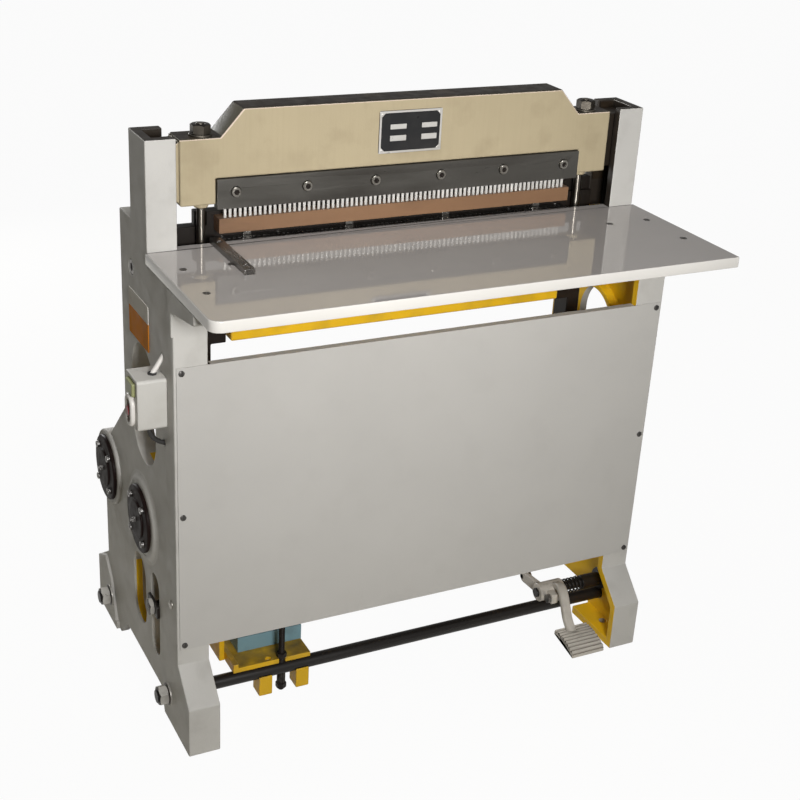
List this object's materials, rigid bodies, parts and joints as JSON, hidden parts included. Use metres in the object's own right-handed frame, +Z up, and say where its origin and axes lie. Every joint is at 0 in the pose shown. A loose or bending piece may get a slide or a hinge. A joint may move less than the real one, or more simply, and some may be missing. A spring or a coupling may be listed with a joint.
{
  "type": "spiral binding punch",
  "caption": "Floor-standing motor-driven paper punch: cast side frames, ram with a row of punches over a die, work table, front panel, foot pedal, crank and gear drive.",
  "frame": {"origin": "on the floor, in the middle of the four foot bolts", "axes": "+X to the right of a person at the table, +Y to the back of the machine, +Z up"},
  "size_m": [0.9846, 0.6695, 1.042],
  "materials": {
    "frame_paint": "light grey enamel on cast iron, satin",
    "yellow_paint": "yellow enamel on cast iron, satin",
    "table_steel": "ground and coated, glossy",
    "panel_paint": "grey enamel on sheet, matt",
    "cream_paint": "cream enamel, worn",
    "brown_paint": "brown oxide",
    "black_paint": "black enamel, satin",
    "blue_paint": "blue enamel, satin",
    "orange_paint": "blank printed sheet",
    "dark_steel": "blackened steel",
    "bright_steel": "ground steel",
    "grey_iron": "cast and machined",
    "bronze": "turned bronze",
    "black_rubber": "moulded rubber",
    "white_plastic": "moulded, glossy",
    "green_plastic": "moulded, glossy",
    "red_plastic": "moulded, glossy"
  },
  "bodies": {
    "frame": {"left_frame": "frame_paint", "right_frame": "frame_paint", "bed_beam": "yellow_paint", "bed_bolts": "dark_steel", "work_table": "table_steel", "table_screws": "dark_steel", "side_guide": "bright_steel", "front_panel": "panel_paint", "panel_screws": "dark_steel", "tie_rods": "black_paint", "tie_rod_nuts": "bright_steel", "guide_strips": "bronze", "stripper_plate": "brown_paint", "die_plate": "dark_steel", "die_screws": "bright_steel", "rear_rail": "black_paint", "back_stops": "bright_steel", "bearing_bushes": "bronze", "drive_belts": "black_rubber", "bearing_caps": "black_paint", "cap_screws": "bright_steel", "motor_body": "blue_paint", "fan_cowl": "blue_paint", "terminal_box": "blue_paint", "motor_plate": "yellow_paint", "rod_clamp": "yellow_paint", "clamp_bolt": "dark_steel", "tension_arm": "yellow_paint", "tension_bolt": "dark_steel", "pedal_bearing": "black_paint", "pedal_spring": "dark_steel", "latch_pivot": "dark_steel", "switch_box": "white_plastic", "conduit": "white_plastic", "motor_cable": "black_rubber", "label_plate": "orange_paint"},
    "ram": {"ram_beam": "cream_paint", "nameplate": "black_paint", "punch_retainer": "dark_steel", "retainer_screws": "bright_steel", "punches": "bright_steel", "pull_rods": "bright_steel", "pull_rod_nuts": "bright_steel", "yokes": "black_paint", "yoke_keepers": "black_paint"},
    "crank": {"crankshaft": "bright_steel", "clutch_collar": "dark_steel"},
    "gear": {"main_gear": "grey_iron"},
    "counter": {"countershaft": "bright_steel", "pinion": "dark_steel", "flywheel": "grey_iron"},
    "rotor": {"motor_pulley": "grey_iron"},
    "pedal": {"pedal_lever": "grey_iron", "pinch_bolt": "dark_steel", "pedal_shaft": "dark_steel"},
    "link": {"clutch_link": "dark_steel"},
    "latch": {"clutch_latch": "dark_steel"},
    "start": {"start_button": "green_plastic"},
    "stop": {"stop_button": "red_plastic"}
  },
  "joints": [
    {"name": "crank_turn", "type": "hinge", "parent": "frame", "child": "crank", "pos_m": [0, -0.0365, 0.338], "axis": [1, 0, 0], "range_deg": [0, 180]},
    {"name": "ram_slide", "type": "slide", "parent": "frame", "child": "ram", "axis": [0, 0, -1], "range_m": [0, 0.018]},
    {"name": "counter_turn", "type": "hinge", "parent": "frame", "child": "counter", "pos_m": [0, 0.166, 0.338], "axis": [1, 0, 0], "continuous": true},
    {"name": "gear_turn", "type": "hinge", "parent": "frame", "child": "gear", "pos_m": [0, -0.0365, 0.338], "axis": [1, 0, 0], "continuous": true},
    {"name": "motor_turn", "type": "hinge", "parent": "frame", "child": "rotor", "pos_m": [0, -0.0625, 0.18], "axis": [1, 0, 0], "continuous": true},
    {"name": "pedal_press", "type": "hinge", "parent": "frame", "child": "pedal", "pos_m": [0, -0.1625, 0.09], "axis": [1, 0, 0], "range_deg": [0, 10], "stiffness_Nm_per_rad": 5, "springref_deg": -22.92},
    {"name": "link_lift", "type": "slide", "parent": "frame", "child": "link", "axis": [0, 0, 1], "range_m": [0, 0.0123]},
    {"name": "latch_swing", "type": "hinge", "parent": "frame", "child": "latch", "pos_m": [0, -0.1325, 0.29], "axis": [1, 0, 0], "range_deg": [0, 17.2]},
    {"name": "start_press", "type": "slide", "parent": "frame", "child": "start", "axis": [1, 0, 0], "range_m": [0, 0.004], "stiffness_N_per_m": 300, "springref_m": -0.002},
    {"name": "stop_press", "type": "slide", "parent": "frame", "child": "stop", "axis": [1, 0, 0], "range_m": [0, 0.004], "stiffness_N_per_m": 300, "springref_m": -0.002}
  ],
  "couplings": [
    {"joint": "ram_slide", "follows": "crank_turn", "m_per_rad": 0.0057296},
    {"joint": "gear_turn", "follows": "counter_turn", "ratio": -0.22727},
    {"joint": "motor_turn", "follows": "counter_turn", "ratio": 3.3871},
    {"joint": "link_lift", "follows": "pedal_press", "m_per_rad": 0.0699},
    {"joint": "latch_swing", "follows": "pedal_press", "ratio": 1.7115}
  ]
}
